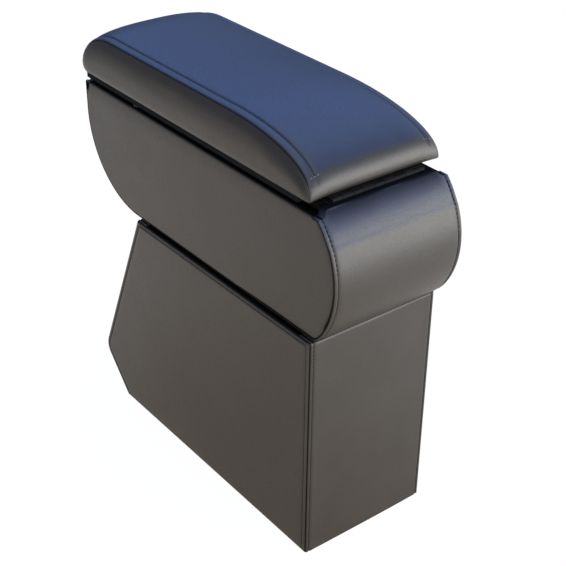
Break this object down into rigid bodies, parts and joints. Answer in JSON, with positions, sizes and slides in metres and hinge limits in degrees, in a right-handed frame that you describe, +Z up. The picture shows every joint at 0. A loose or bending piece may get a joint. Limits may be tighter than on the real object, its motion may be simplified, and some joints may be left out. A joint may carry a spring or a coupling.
{
  "type": "car centre armrest",
  "caption": "Leatherette-covered car centre armrest: a hollow base that stands on the tunnel, a rounded storage box and a hinged padded lid.",
  "frame": {"origin": "middle of the base's underside, at the centre of the four fixing holes", "axes": "+X towards the right, +Y towards the front of the car, +Z up"},
  "size_m": [0.124, 0.344, 0.3489],
  "materials": {
    "leatherette": "charcoal leatherette with a fine grain and a soft sheen",
    "black_leatherette": "black leatherette on a thin board",
    "black_felt": "black felt",
    "foam": "open-cell upholstery foam",
    "plywood": "birch plywood, unfinished",
    "steel": "zinc-plated steel",
    "rubber": "matte"
  },
  "bodies": {
    "armrest": {"base_side_left": "plywood", "base_side_right": "plywood", "base_rear_panel": "plywood", "base_front_panel": "plywood", "base_toe_panel": "plywood", "base_top_panel": "plywood", "rear_crossbar": "plywood", "front_crossbar": "plywood", "base_cover_left": "leatherette", "base_cover_right": "leatherette", "base_cover_rear": "leatherette", "base_cover_front": "leatherette", "rear_bracket": "steel", "front_bracket": "steel", "bracket_screws": "steel", "spacer_board": "black_leatherette", "box_floor": "plywood", "box_side_left": "plywood", "box_side_right": "plywood", "box_front_wall": "plywood", "box_rear_wall": "plywood", "hinge_rail": "plywood", "joining_screws": "steel", "box_cover_left": "leatherette", "box_cover_right": "leatherette", "box_band_cover": "leatherette", "box_lining": "black_felt", "bumper_left": "rubber", "bumper_right": "rubber", "hinge_leaf_box": "steel", "hinge_pin": "steel", "hinge_screws_box": "steel"},
    "lid": {"hinge_leaf_lid": "steel", "hinge_screws_lid": "steel", "lid_inner_board": "black_felt", "lid_core_board": "plywood", "lid_foam": "foam", "lid_top_cover": "leatherette", "lid_gusset_left": "leatherette", "lid_gusset_right": "leatherette"}
  },
  "joints": [
    {"name": "lid_hinge", "type": "hinge", "parent": "armrest", "child": "lid", "pos_m": [0, -0.12983, 0.30765], "axis": [1, 0, 0], "range_deg": [0, 125]}
  ]
}
